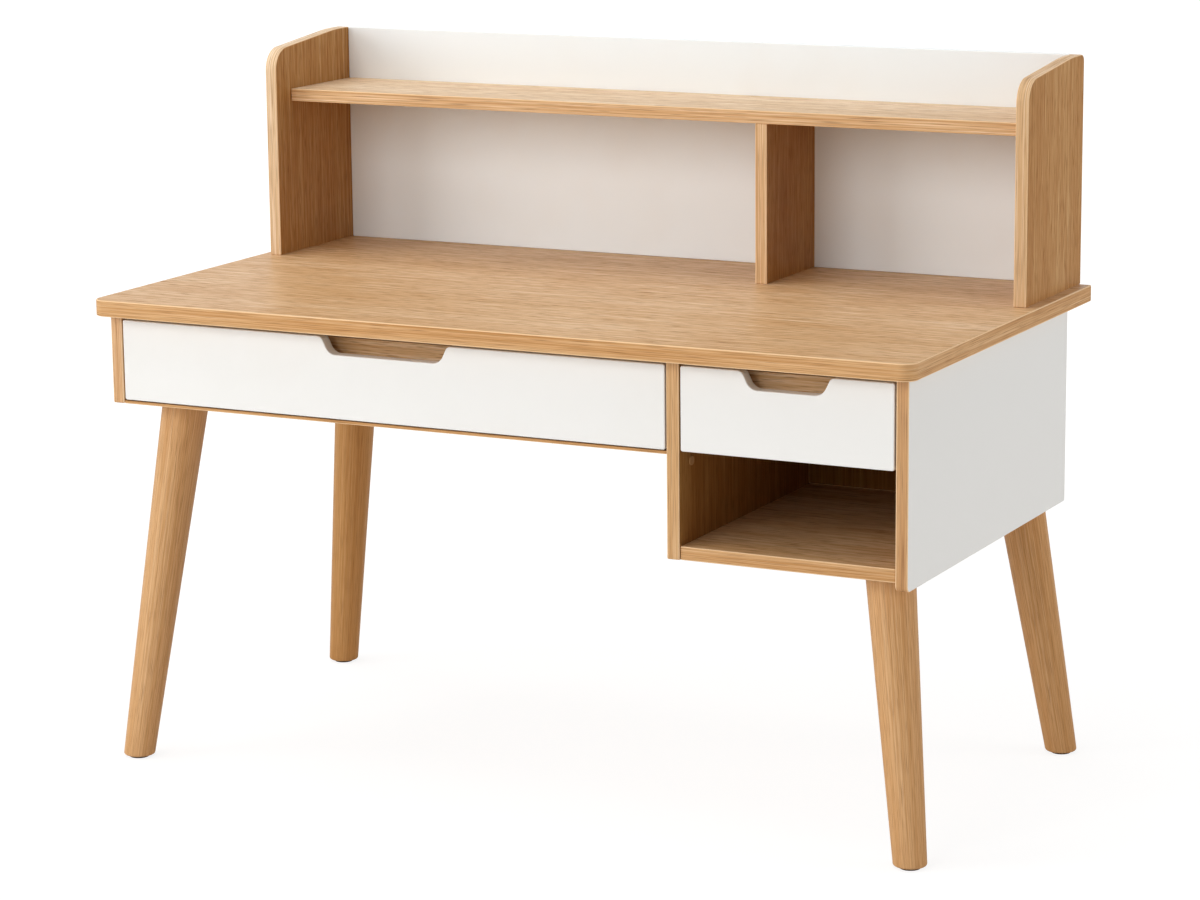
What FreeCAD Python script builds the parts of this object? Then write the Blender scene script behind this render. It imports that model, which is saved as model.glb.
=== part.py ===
"""Student desk with hutch: oak-veneered boards, white drawer fronts, splayed turned legs.

Millimetres. X runs to the sitter's right, Y to the wall, Z up. The origin lies on the floor
under the middle of the desktop. Places are written as formulas of the sheet's sizes.
"""
import FreeCAD, Part
import os
import re
import Sketcher
from FreeCAD import Placement, Rotation, Vector

SIZES = (
    # Desktop
    ("top_width", 1208, "desktop, end to end"),
    ("top_depth", 655, "desktop, front to rear"),
    ("top_thickness", 23, "desktop board"),
    ("desk_height", 660, "floor to desktop surface"),
    ("top_corner_radius", 19, "desktop's front corners in plan"),
    ("top_edge_round", 2, "eased edges of the desktop"),
    # Carcass under the desktop
    ("panel_thickness", 18, "carcass and hutch boards"),
    ("side_edge_round", 2.5, "eased edges of the side panels"),
    ("edge_round", 1.5, "eased edges of the other boards"),
    ("end_overhang", 14, "desktop beyond each side panel"),
    ("front_overhang", 25, "desktop beyond the carcass in front"),
    ("rear_overhang", 55, "desktop beyond the carcass behind"),
    ("bay_height", 124, "desktop to the lower edge of the left side panel"),
    ("pedestal_height", 261, "desktop to the lower edge of the partition"),
    ("pedestal_width", 297, "clear width between partition and right side panel"),
    ("right_panel_drop", 11, "right side panel below the cubby floor"),
    ("panel_corner_radius", 8, "lower front corner of the right side panel"),
    ("cubby_depth", 412, "carcass front to the cubby's back board"),
    ("cubby_floor_setback", 2, "cubby floor behind the panels' front edges"),
    # Hutch
    ("hutch_height", 317, "hutch above the desktop, at the rear"),
    ("hutch_depth", 216, "hutch ends, front to rear"),
    ("hutch_inset", 16, "desktop beyond each hutch end"),
    ("hutch_front_drop", 17, "fall of the hutch ends' upper edge towards the front"),
    ("hutch_level_length", 47, "level rear stretch of that edge"),
    ("hutch_bend_radius", 300, "bend between its level and its sloping stretch"),
    ("hutch_front_radius", 33, "upper front corner of the hutch ends"),
    ("hutch_rear_radius", 10, "upper rear corner of the hutch ends"),
    ("hutch_back_thickness", 9, "white back panel"),
    ("shelf_height", 241, "desktop to the shelf's upper face"),
    ("shelf_setback", 40, "shelf behind the hutch ends' front edges"),
    ("divider_setback", 1, "divider behind the shelf's front edge"),
    ("right_bay_width", 377, "divider to the right hutch end"),
    # Drawer fronts
    ("front_thickness", 18, "white drawer fronts"),
    ("front_side_gap", 2, "gap at each side of a drawer front"),
    ("front_top_gap", 7, "gap between a drawer front and the desktop"),
    ("front_foot_gap", 1.8, "gap between the wide front and the lip under it"),
    ("front_corner_radius", 3, "outer corners of the drawer fronts"),
    ("front_clearance", 2, "bay bottom's rebate behind the wide front"),
    ("lip_thickness", 4, "lip of the bay bottom under the wide front"),
    ("lip_setback", 1, "that lip behind the panels' front edges"),
    ("wide_cut_width", 192, "finger cut-out of the wide front, at its top"),
    ("small_cut_width", 122, "finger cut-out of the small front, at its top"),
    ("cut_depth", 24, "finger cut-outs, downwards"),
    ("cut_run", 11.5, "sideways run of the cut-outs' sloping ends"),
    ("cut_top_radius", 9, "upper corners of the cut-outs"),
    ("cut_foot_radius", 17, "lower corners of the cut-outs"),
    # Drawer boxes
    ("box_thickness", 12, "drawer sides, inner fronts and backs"),
    ("box_top_gap", 13, "desktop to a drawer box"),
    ("box_floor_gap", 8, "bay bottom to a drawer box"),
    ("finger_channel", 15, "room for the fingers behind a drawer front"),
    ("wide_rear_room", 89, "free space behind the wide drawer's box"),
    ("small_rear_room", 44, "free space behind the small drawer's box"),
    ("bottom_thickness", 3, "hardboard drawer bottoms"),
    ("bottom_rise", 8, "drawer bottom above the sides' lower edges"),
    ("groove_depth", 6, "grooves for the drawer bottoms"),
    ("groove_play", 0.2, "room round a drawer bottom in its grooves"),
    # Telescopic slides
    ("slide_thickness", 12.7, "side wall to drawer box"),
    ("slide_height", 35, "outer slide members"),
    ("slide_steel", 1.2, "sheet steel of the slides"),
    ("slide_lip", 2.5, "turned-in lips of the members"),
    ("slide_play", 0.4, "running gap between the members"),
    ("slide_flange", 8.5, "outer member's flanges"),
    ("slide_head_room", 2.4, "room for screw heads behind the middle member"),
    ("slide_setback", 2, "slides behind the drawer fronts"),
    ("slide_rise", 26, "middle line of the slides above the box's lower edge"),
    ("slide_middle_cut", 5, "middle member shorter than the others, at each end"),
    ("wide_slide_screw_inset", 35, "first screw from the ends of a wide drawer's slide"),
    ("small_slide_screw_inset", 58, "first screw from the ends of a small drawer's slide"),
    # Legs
    ("leg_top_diameter", 65, "legs at their upper end"),
    ("leg_foot_diameter", 44, "legs at their lower end"),
    ("leg_foot_round", 3, "rounded lower rim"),
    ("leg_side_run", 49.6, "outward run of the right legs, from top to foot"),
    ("leg_front_run", 48.2, "forward run of the front legs"),
    ("leg_rear_run", 47, "backward run of the rear legs"),
    ("leg_side_gap", 3.5, "right legs' rims to the right side panel"),
    ("leg_front_inset", 40.5, "front legs' rims behind the carcass front"),
    ("leg_rear_inset", 1, "rear legs' rims in front of the carcass rear"),
    ("glide_diameter", 27, "foot glides"),
    ("glide_height", 3.5, "foot glides"),
    ("glide_nail_diameter", 4, "nail of a foot glide"),
    ("glide_nail_length", 16, "nail of a foot glide"),
    ("leg_bolt_diameter", 8, "hanger bolts"),
    ("leg_bolt_in_leg", 40, "hanger bolt inside the leg"),
    ("insert_diameter", 12, "threaded inserts"),
    ("insert_length", 14, "threaded inserts"),
    ("leg_dowel_offset", 18, "locking dowel to the hanger bolt"),
    # Dowels, screws and brackets
    ("hole_play", 0.1, "room round a dowel or screw in its hole"),
    ("dowel_diameter", 8, "carcass dowels"),
    ("dowel_length", 30, "all dowels"),
    ("dowel_face_depth", 10, "dowel inside the board that it enters by the face"),
    ("dowel_inset", 50, "dowels from the ends of a joint"),
    ("top_dowel_inset", 75, "dowels between desktop and panels, from the panels' ends"),
    ("front_dowel_diameter", 6, "dowels between drawer front and sides"),
    ("front_dowel_spacing", 46, "dowels between drawer front and sides"),
    ("confirmat_diameter", 7, "one-piece connecting screws"),
    ("confirmat_length", 50, "one-piece connecting screws"),
    ("confirmat_head", 10, "one-piece connecting screws, head diameter"),
    ("confirmat_head_height", 3, "one-piece connecting screws"),
    ("confirmat_inset", 28, "screws from the ends of a hutch upright"),
    ("floor_screw_inset", 105, "screws between partition and cubby floor, from its ends"),
    ("rail_screw_inset", 120, "screws under the bay's and the cubby's back boards"),
    ("screw_diameter", 4, "small chipboard screws"),
    ("pan_screw_length", 11, "pan-head screws"),
    ("pan_head_diameter", 7, "pan-head screws"),
    ("pan_head_height", 1.8, "pan-head screws"),
    ("flat_head_diameter", 7.5, "countersunk screws"),
    ("flat_head_height", 2.2, "countersunk screws"),
    ("box_screw_length", 35, "screws of the drawer boxes"),
    ("box_screw_inset", 14, "screws of the drawer boxes, from the boards' edges"),
    ("back_screw_length", 30, "screws of the hutch back"),
    ("back_screw_inset", 60, "screws of the hutch back, from the ends"),
    ("bracket_leg", 30, "corner brackets"),
    ("bracket_width", 20, "corner brackets"),
    ("bracket_steel", 2, "corner brackets"),
    ("bracket_hole", 13, "corner to hole centre"),
    ("bracket_front_inset", 36, "front brackets behind the carcass front"),
    ("bracket_rear_inset", 110, "rear brackets in front of the carcass rear"),
    ("bolt_diameter", 6, "bolts through the partition"),
    ("bolt_head_diameter", 12, "bolts through the partition"),
    ("bolt_head_height", 1.6, "bolts through the partition"),
    ("nut_diameter", 11, "nuts of those bolts"),
    ("nut_height", 5, "nuts of those bolts"),
)

# Planes and lines that several pieces share, each a formula of the sizes
PLACES = {
    "left_end": "0 - top_width / 2",
    "right_end": "top_width / 2",
    "front_edge": "0 - top_depth / 2",
    "rear_edge": "top_depth / 2",
    "top_under": "desk_height - top_thickness",
    "carcass_front": "front_edge + front_overhang",
    "carcass_rear": "rear_edge - rear_overhang",
    "left_outer": "left_end + end_overhang",
    "bay_left": "left_outer + panel_thickness",
    "right_outer": "right_end - end_overhang",
    "pedestal_right": "right_outer - panel_thickness",
    "pedestal_left": "pedestal_right - pedestal_width",
    "bay_right": "pedestal_left - panel_thickness",
    "bay_base": "top_under - bay_height",
    "bay_floor": "bay_base + panel_thickness",
    "pedestal_base": "top_under - pedestal_height",
    "cubby_deck": "pedestal_base + panel_thickness",
    "fronts_back": "carcass_front + front_thickness",
    "bay_bottom_front": "fronts_back + front_clearance",
    "bay_back_front": "carcass_rear - panel_thickness",
    "cubby_floor_front": "carcass_front + cubby_floor_setback",
    "cubby_back_front": "carcass_front + cubby_depth",
    "cubby_back_rear": "cubby_back_front + panel_thickness",
    "hutch_left": "left_end + hutch_inset",
    "hutch_right": "right_end - hutch_inset",
    "hutch_front": "rear_edge - hutch_depth",
    "hutch_top": "desk_height + hutch_height",
    "hutch_left_face": "hutch_left + panel_thickness",
    "hutch_right_face": "hutch_right - panel_thickness",
    "hutch_back_face": "rear_edge - hutch_back_thickness",
    "shelf_top": "desk_height + shelf_height",
    "shelf_under": "shelf_top - panel_thickness",
    "shelf_front": "hutch_front + shelf_setback",
    "divider_front": "shelf_front + divider_setback",
    "divider_right": "hutch_right_face - right_bay_width",
    "divider_left": "divider_right - panel_thickness",
    "front_high": "top_under - front_top_gap",
    "lip_front": "carcass_front + lip_setback",
    "lip_top": "bay_base + lip_thickness",
    "front_low": "lip_top + front_foot_gap",
    "box_high": "top_under - box_top_gap",
    "box_low": "bay_floor + box_floor_gap",
    "bottom_low": "box_low + bottom_rise",
    "bottom_high": "bottom_low + bottom_thickness",
    "inner_front_face": "fronts_back + finger_channel",
    "inner_front_rear": "inner_front_face + box_thickness",
    "slide_front": "fronts_back + slide_setback",
    "slide_low": "box_low + slide_rise - slide_height / 2",
    "slide_line": "box_low + slide_rise",
    "leg_left_height": "bay_base - glide_height",
    "leg_right_height": "pedestal_base - glide_height",
    "leg_top_radius": "leg_top_diameter / 2",
    "foot_side": "pedestal_right - leg_side_gap - leg_top_radius + leg_side_run",
    "seat_front": "carcass_front + leg_front_inset + leg_top_radius",
    "seat_rear": "carcass_rear - leg_rear_inset - leg_top_radius",
    "foot_front": "seat_front - leg_front_run",
    "foot_rear": "seat_rear + leg_rear_run",
    "bracket_front": "carcass_front + bracket_front_inset",
    "bracket_rear": "carcass_rear - bracket_rear_inset",
}

doc = FreeCAD.newDocument("student_desk")
sheet = doc.addObject("Spreadsheet::Sheet", "Sizes")
for row, (alias, value, meaning) in enumerate(SIZES, start=1):
    sheet.set(f"A{row}", alias)
    sheet.set(f"B{row}", str(value))
    sheet.set(f"C{row}", meaning)
    sheet.setAlias(f"B{row}", alias)
doc.recompute()


def formula(text):
    """Spell a formula out in the sheet's cells, with every shared place in brackets."""
    def spell(match):
        word = match.group(0)
        if word in PLACES:
            return f"({formula(PLACES[word])})"
        return f"Sizes.{word}"
    return re.sub(r"[a-z][a-z_]+", spell, text)


def number(text):
    """The present value of a formula, in millimetres."""
    return float(sheet.evalExpression(formula(text)))


def bind(item, **sizes):
    """Tie properties of an object to formulas."""
    for name, text in sizes.items():
        item.setExpression(name, formula(text))


def place(item, x, y, z):
    """Tie an object's place to three formulas."""
    for axis, text in zip("xyz", (x, y, z)):
        item.setExpression(f"Placement.Base.{axis}", formula(text))


def plane_of(body, role):
    """One of a body's own origin planes."""
    return next(item for item in body.Origin.OriginFeatures if item.Role == role)


def sharp_edges(shape):
    """Names of the edges whose two faces meet at an angle."""
    names = []
    for index, edge in enumerate(shape.Edges, start=1):
        middle = edge.valueAt((edge.FirstParameter + edge.LastParameter) / 2)
        faces = shape.ancestorsOfType(edge, Part.Face)
        normals = [face.normalAt(*face.Surface.parameter(middle)) for face in faces]
        if len(normals) == 2 and normals[0].dot(normals[1]) < 0.95:
            names.append(f"Edge{index}")
    return names


def edges_at(shape, *spots):
    """Names of the straight edges whose middle lies at one of the spots, None being any value."""
    names = []
    for index, edge in enumerate(shape.Edges, start=1):
        middle = edge.valueAt((edge.FirstParameter + edge.LastParameter) / 2)
        for spot in spots:
            if all(want is None or abs(have - want) < 0.01 for have, want in zip(middle, spot)):
                names.append(f"Edge{index}")
    return names


def rounded(body, edges, radius):
    """Round the named edges of a body's last feature."""
    base = body.Tip
    fillet = body.newObject("PartDesign::Fillet", "rounding")
    fillet.Base = (base, edges)
    bind(fillet, Radius=radius)
    doc.recompute()


blanks = {}
bores = {}
nodes = {}


def board(name, x, y, z, ease="edge_round"):
    """A board between two formulas on each axis, with eased edges."""
    body = doc.addObject("PartDesign::Body", name + "_blank")
    blank = body.newObject("PartDesign::AdditiveBox", name + "_board")
    bind(blank, Length=f"{x[1]} - ({x[0]})", Width=f"{y[1]} - ({y[0]})", Height=f"{z[1]} - ({z[0]})")
    place(body, x[0], y[0], z[0])
    doc.recompute()
    if ease:
        rounded(body, sharp_edges(blank.Shape), ease)
    blanks[name] = body
    return body


def outline(body, role, points):
    """A closed sketch of straight lines through points that are each two formulas."""
    sketch = body.newObject("Sketcher::SketchObject", "outline")
    sketch.AttachmentSupport = (plane_of(body, role), [""])
    sketch.MapMode = "FlatFace"
    corners = [Vector(number(across), number(up), 0) for across, up in points]
    count = len(corners)
    for index, corner in enumerate(corners):
        sketch.addGeometry(Part.LineSegment(corner, corners[(index + 1) % count]), False)
    for index in range(count):
        sketch.addConstraint(Sketcher.Constraint("Coincident", index, 2, (index + 1) % count, 1))
    for index, (across, up) in enumerate(points):
        for kind, text in (("DistanceX", across), ("DistanceY", up)):
            distance = Sketcher.Constraint(kind, -1, 1, index, 1, number(text))
            name = f"{kind.lower()}_{index}"
            sketch.renameConstraint(sketch.addConstraint(distance), name)
            sketch.setExpression(f"Constraints.{name}", formula(text))
    return sketch


def extruded(name, role, points, length, backwards=False):
    """A body made by extruding an outline."""
    body = doc.addObject("PartDesign::Body", name + "_blank")
    sketch = outline(body, role, points)
    pad = body.newObject("PartDesign::Pad", name + "_extrusion")
    pad.Profile = sketch
    pad.Reversed = backwards
    bind(pad, Length=length)
    doc.recompute()
    blanks[name] = body
    return body


def box(name, x, y, z):
    """A plain block between two formulas on each axis."""
    block = doc.addObject("Part::Box", name)
    bind(block, Length=f"{x[1]} - ({x[0]})", Width=f"{y[1]} - ({y[0]})", Height=f"{z[1]} - ({z[0]})")
    place(block, x[0], y[0], z[0])
    return block


TURNS = {
    "+x": Rotation(Vector(0, 1, 0), 90),
    "-x": Rotation(Vector(0, 1, 0), -90),
    "+y": Rotation(Vector(1, 0, 0), -90),
    "-y": Rotation(Vector(1, 0, 0), 90),
    "+z": Rotation(),
    "-z": Rotation(Vector(1, 0, 0), 180),
}


def moved(spot, along, distance):
    """A spot of three formulas, moved along a signed axis."""
    sign, axis = along
    return tuple(f"{text} {sign} ({distance})" if letter == axis else text
                 for letter, text in zip("xyz", spot))


def rod(name, along, spot, diameter, length):
    """A round rod that starts at a spot and runs along a signed axis."""
    bar = doc.addObject("Part::Cylinder", name)
    bar.Placement = Placement(Vector(), TURNS[along])
    bind(bar, Radius=f"({diameter}) / 2", Height=length)
    place(bar, *spot)
    return bar


def cone(name, along, spot, wide, narrow, length):
    """A round cone that starts at its wide end."""
    taper = doc.addObject("Part::Cone", name)
    taper.Placement = Placement(Vector(), TURNS[along])
    bind(taper, Radius1=f"({wide}) / 2", Radius2=f"({narrow}) / 2", Height=length)
    place(taper, *spot)
    return taper


def fused(name, first, second):
    """Two overlapping or touching solids as one."""
    whole = doc.addObject("Part::Fuse", name)
    whole.Base = first
    whole.Tool = second
    whole.Refine = True
    return whole


def bore(cutter, *names):
    """Cut a shape out of the named pieces."""
    for name in names:
        bores.setdefault(name, []).append(cutter)


def hole(along, spot, diameter, length, *names):
    """A round hole with play all round, in the named pieces."""
    start = moved(spot, along, "0 - hole_play")
    bore(rod("hole", along, start, f"{diameter} + 2 * hole_play", f"{length} + 2 * hole_play"), *names)


groups = {}


def grouped(node, solid):
    """Put a solid into a node of like pieces."""
    groups.setdefault(node, []).append(solid)


def dowel(node, along, spot, diameter, face_board, end_board):
    """A dowel across the joint at a spot, from the face of one board into the end of another."""
    start = moved(spot, along, "0 - dowel_face_depth")
    grouped(node, rod("dowel", along, start, diameter, "dowel_length"))
    hole(along, start, diameter, "dowel_length", face_board, end_board)


def confirmat(along, spot, outer_board, inner_board):
    """A connecting screw whose head lies flush in the outer board."""
    head = rod("confirmat_head", along, spot, "confirmat_head", "confirmat_head_height")
    shank = rod("confirmat_shank", along, spot, "confirmat_diameter", "confirmat_length")
    grouped("confirmat_screws", fused("confirmat", head, shank))
    hole(along, spot, "confirmat_head", "confirmat_head_height", outer_board)
    hole(along, spot, "confirmat_diameter", "confirmat_length", outer_board, inner_board)


def pan_screw(node, along, spot, *boards):
    """A pan-head screw whose head stands on the surface at a spot."""
    start = moved(spot, along, "0 - pan_head_height")
    head = rod("pan_head", along, start, "pan_head_diameter", "pan_head_height")
    shank = rod("pan_shank", along, spot, "screw_diameter", "pan_screw_length")
    grouped(node, fused("pan_screw", head, shank))
    hole(along, spot, "screw_diameter", "pan_screw_length", *boards)


def flat_screw(node, along, spot, length, outer_board, inner_board):
    """A countersunk screw whose head lies flush in the outer board."""
    head = cone("flat_head", along, spot, "flat_head_diameter", "screw_diameter", "flat_head_height")
    shank = rod("flat_shank", along, spot, "screw_diameter", length)
    grouped(node, fused("flat_screw", head, shank))
    sink = cone("sink", along, moved(spot, along, "0 - hole_play"), "flat_head_diameter + 4 * hole_play",
                "screw_diameter + 4 * hole_play", "flat_head_height + hole_play")
    bore(sink, outer_board)
    hole(along, spot, "screw_diameter", length, outer_board, inner_board)


# Desktop: front corners rounded in plan, all edges eased
top = board("desktop", ("left_end", "right_end"), ("front_edge", "rear_edge"),
            ("top_under", "desk_height"), None)
corners = edges_at(top.Tip.Shape, (0, 0, None), (number("top_width"), 0, None))
upright_corners = [name for name in corners if abs(top.Tip.Shape.getElement(name).tangentAt(0).z) > 0.9]
rounded(top, upright_corners, "top_corner_radius")
rounded(top, sharp_edges(top.Tip.Shape), "top_edge_round")

# Carcass boards
CARCASS_DEPTH = ("carcass_front", "carcass_rear")
board("left_side_panel", ("left_outer", "bay_left"), CARCASS_DEPTH, ("bay_base", "top_under"),
      "side_edge_round")
right_panel = board("right_side_panel", ("pedestal_right", "right_outer"), CARCASS_DEPTH,
                    ("pedestal_base - right_panel_drop", "top_under"), None)
low_front_edge = edges_at(right_panel.Tip.Shape, (number("panel_thickness / 2"), 0, 0))
rounded(right_panel, low_front_edge, "panel_corner_radius")
rounded(right_panel, sharp_edges(right_panel.Tip.Shape), "side_edge_round")
board("partition", ("bay_right", "pedestal_left"), CARCASS_DEPTH, ("pedestal_base", "top_under"))
BAY_WIDTH = ("bay_left", "bay_right")
board("bay_bottom", BAY_WIDTH, ("lip_front", "carcass_rear"), ("bay_base", "bay_floor"))
board("bay_back", BAY_WIDTH, ("bay_back_front", "carcass_rear"), ("bay_floor", "top_under"))
board("cubby_floor", ("pedestal_left", "pedestal_right"), ("cubby_floor_front", "carcass_rear"),
      ("pedestal_base", "cubby_deck"))
board("cubby_back", ("pedestal_left", "pedestal_right"), ("cubby_back_front", "cubby_back_rear"),
      ("cubby_deck", "top_under"))

# Rebate that leaves only a thin lip of the bay bottom under the wide drawer front
bore(box("lip_rebate", ("bay_left - hole_play", "bay_right + hole_play"),
         ("lip_front - hole_play", "bay_bottom_front"), ("lip_top", "bay_floor + hole_play")), "bay_bottom")

# Hutch boards: the ends slope down to the front and are rounded at both upper corners
END_OUTLINE = [("0", "0"), ("hutch_depth", "0"), ("hutch_depth", "hutch_height"),
               ("hutch_depth - hutch_level_length", "hutch_height"), ("0", "hutch_height - hutch_front_drop")]
END_ROUNDINGS = (("hutch_rear_radius", END_OUTLINE[2]), ("hutch_bend_radius", END_OUTLINE[3]),
                 ("hutch_front_radius", END_OUTLINE[4]))
for node, side in (("hutch_left_end", "hutch_left"), ("hutch_right_end", "hutch_right_face")):
    end = extruded(node, "YZ_Plane", END_OUTLINE, "panel_thickness")
    place(end, side, "hutch_front", "desk_height")
    for radius, (along, up) in END_ROUNDINGS:
        corner = (number("panel_thickness / 2"), number(along), number(up))
        rounded(end, edges_at(end.Tip.Shape, corner), radius)
    rounded(end, sharp_edges(end.Tip.Shape), "edge_round")
HUTCH_WIDTH = ("hutch_left_face", "hutch_right_face")
board("hutch_shelf", HUTCH_WIDTH, ("shelf_front", "hutch_back_face"), ("shelf_under", "shelf_top"))
board("hutch_divider", ("divider_left", "divider_right"), ("divider_front", "hutch_back_face"),
      ("desk_height", "shelf_under"))
board("hutch_back", HUTCH_WIDTH, ("hutch_back_face", "rear_edge"), ("desk_height", "hutch_top"))


def c_channel(near, far, half):
    """Outline of a lipped channel that opens away from the wall: distances from wall and slide foot."""
    low = f"slide_height / 2 - ({half})"
    high = f"slide_height / 2 + ({half})"
    web = f"{near} + slide_steel"
    lip = f"{far} - slide_steel"
    low_inside = f"{low} + slide_steel"
    high_inside = f"{high} - slide_steel"
    low_lip = f"{low_inside} + slide_lip"
    high_lip = f"{high_inside} - slide_lip"
    return [(near, low), (far, low), (far, low_lip), (lip, low_lip), (lip, low_inside), (web, low_inside),
            (web, high_inside), (lip, high_inside), (lip, high_lip), (far, high_lip), (far, high),
            (near, high)]


def hat_channel(near, far, half):
    """Outline of a channel that opens towards the wall and has its lips turned outwards."""
    low = f"slide_height / 2 - ({half})"
    high = f"slide_height / 2 + ({half})"
    lip = f"{near} + slide_steel"
    web = f"{far} - slide_steel"
    low_inside = f"{low} + slide_steel"
    high_inside = f"{high} - slide_steel"
    low_lip = f"{low} - slide_lip"
    high_lip = f"{high} + slide_lip"
    return [(far, low), (far, high), (lip, high), (lip, high_lip), (near, high_lip), (near, high_inside),
            (web, high_inside), (web, low_inside), (near, low_inside), (near, low_lip), (lip, low_lip),
            (lip, low)]


# Section of a slide: distances from the side wall and half heights, from the outer member inwards
PLACES.update({
    "outer_half": "slide_height / 2",
    "middle_half": "outer_half - slide_steel - slide_lip - slide_play",
    "inner_half": "middle_half - slide_steel - slide_lip - slide_play",
    "middle_near": "slide_steel + slide_head_room",
    "middle_far": "slide_thickness - slide_steel - slide_play",
    "inner_near": "middle_near + slide_steel + slide_play",
})


def slide(drawer, side, wall, length, screw_inset):
    """One telescopic slide: outer member on the wall, middle member, inner member on the drawer box."""
    inward = "+x" if side == "left" else "-x"
    outward = "-x" if side == "left" else "+x"
    corner = wall if side == "left" else f"{wall} - slide_thickness"
    members = {
        "outer": (c_channel("0", "slide_flange", "outer_half"), "slide_front", length),
        "middle": (c_channel("middle_near", "middle_far", "middle_half"), "slide_front + slide_middle_cut",
                   f"{length} - 2 * slide_middle_cut"),
        "inner": (hat_channel("inner_near", "slide_thickness", "inner_half"), "slide_front", length),
    }
    for member, (points, start, run) in members.items():
        if side == "right":
            points = [(f"slide_thickness - ({across})", up) for across, up in points]
        body = extruded(f"{drawer}_slide_{member}_{side}", "XZ_Plane", points, run, backwards=True)
        place(body, corner, start, "slide_low")
    strips = (("slide_steel + slide_play", "slide_flange - slide_steel - slide_play",
               "middle_half", "outer_half - slide_steel - slide_play"),
              ("inner_near + slide_steel + slide_play", "middle_far - slide_steel",
               "inner_half + slide_play", "middle_half - slide_steel"))
    run = ("slide_front + slide_middle_cut", f"slide_front + {length} - slide_middle_cut")
    for near, far, low, high in strips:
        across = (f"{wall} + {near}", f"{wall} + {far}")
        if side == "right":
            across = (f"{wall} - ({far})", f"{wall} - ({near})")
        upper = (f"slide_line + {low}", f"slide_line + {high}")
        lower = (f"slide_line - ({high})", f"slide_line - ({low})")
        for up in (upper, lower):
            grouped(f"{drawer}_slide_bearings", box("bearing_strip", across, run, up))
    wall_board = {"wide_left": "left_side_panel", "wide_right": "partition",
                  "small_left": "partition", "small_right": "right_side_panel"}[f"{drawer}_{side}"]
    for along in (f"slide_front + {screw_inset}", f"slide_front + ({length}) / 2",
                  f"slide_front + {length} - {screw_inset}"):
        on_wall = moved((wall, along, "slide_line"), inward, "slide_steel")
        pan_screw("panel_screws", outward, on_wall, f"{drawer}_slide_outer_{side}", wall_board)
        on_box = moved((wall, along, "slide_line"), inward, "slide_thickness - slide_steel")
        pan_screw(f"{drawer}_slide_screws", inward, on_box, f"{drawer}_slide_inner_{side}",
                  f"{drawer}_drawer_{side}")


def drawer(name, left, right, length, cut_width, screw_inset):
    """One drawer: scooped white front, box with a finger channel behind the front, and two slides."""
    face_left = f"{left} + front_side_gap"
    width = f"{right} - front_side_gap - ({face_left})"
    height = "front_high - front_low"
    middle = f"({width}) / 2"
    mouth = f"({cut_width}) / 2"
    throat = f"({cut_width}) / 2 - cut_run"
    sill = f"{height} - cut_depth"
    points = [("0", "0"), (width, "0"), (width, height), (f"{middle} + {mouth}", height),
              (f"{middle} + ({throat})", sill), (f"{middle} - ({throat})", sill),
              (f"{middle} - {mouth}", height), ("0", height)]
    face = f"{name}_drawer_front"
    body = extruded(face, "XZ_Plane", points, "front_thickness", backwards=True)
    place(body, face_left, "carcass_front", "front_low")
    half = number("front_thickness") / 2
    outer_corners = [(number(across), half, number(up)) for across, up in points[:3] + points[7:]]
    mouth_corners = [(number(across), half, number(up)) for across, up in (points[3], points[6])]
    throat_corners = [(number(across), half, number(up)) for across, up in (points[4], points[5])]
    rounded(body, edges_at(body.Tip.Shape, *throat_corners), "cut_foot_radius")
    rounded(body, edges_at(body.Tip.Shape, *mouth_corners), "cut_top_radius")
    rounded(body, edges_at(body.Tip.Shape, *outer_corners), "front_corner_radius")
    rounded(body, sharp_edges(body.Tip.Shape), "edge_round")

    rear = f"fronts_back + {length}"
    outer = {"left": f"{left} + slide_thickness", "right": f"{right} - slide_thickness"}
    inner = {"left": f"{outer['left']} + box_thickness", "right": f"{outer['right']} - box_thickness"}
    inside = (inner["left"], inner["right"])
    side_depth = ("fronts_back", rear)
    side_height = ("box_low", "box_high")
    end_height = ("bottom_high", "box_high")
    board(f"{name}_drawer_left", (outer["left"], inner["left"]), side_depth, side_height)
    board(f"{name}_drawer_right", (inner["right"], outer["right"]), side_depth, side_height)
    board(f"{name}_inner_front", inside, ("inner_front_face", "inner_front_rear"), end_height)
    board(f"{name}_drawer_back", inside, (f"{rear} - box_thickness", rear), end_height)
    board(f"{name}_drawer_bottom", (f"{inner['left']} - groove_depth", f"{inner['right']} + groove_depth"),
          ("fronts_back - groove_depth", rear), ("bottom_low", "bottom_high"), None)
    groove = box("groove", (f"{inner['left']} - groove_depth - groove_play",
                            f"{inner['right']} + groove_depth + groove_play"),
                 ("fronts_back - groove_depth - groove_play", f"{rear} + groove_play"),
                 ("bottom_low - groove_play", "bottom_high"))
    bore(groove, face, f"{name}_drawer_left", f"{name}_drawer_right")

    middle_height = "(box_low + box_high) / 2"
    for side in ("left", "right"):
        inward = "+x" if side == "left" else "-x"
        side_board = f"{name}_drawer_{side}"
        across = f"({outer[side]} + {inner[side]}) / 2"
        for sign in "+-":
            spot = (across, "fronts_back", f"{middle_height} {sign} front_dowel_spacing / 2")
            dowel(f"{name}_front_dowels", "+y", spot, "front_dowel_diameter", face, side_board)
        for end_board, along in ((f"{name}_inner_front", "inner_front_face + box_thickness / 2"),
                                 (f"{name}_drawer_back", f"{rear} - box_thickness / 2")):
            for up in ("bottom_high + box_screw_inset", "box_high - box_screw_inset"):
                flat_screw(f"{name}_box_screws", inward, (outer[side], along, up), "box_screw_length",
                           side_board, end_board)
        wall = left if side == "left" else right
        slide(name, side, wall, length, screw_inset)


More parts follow.
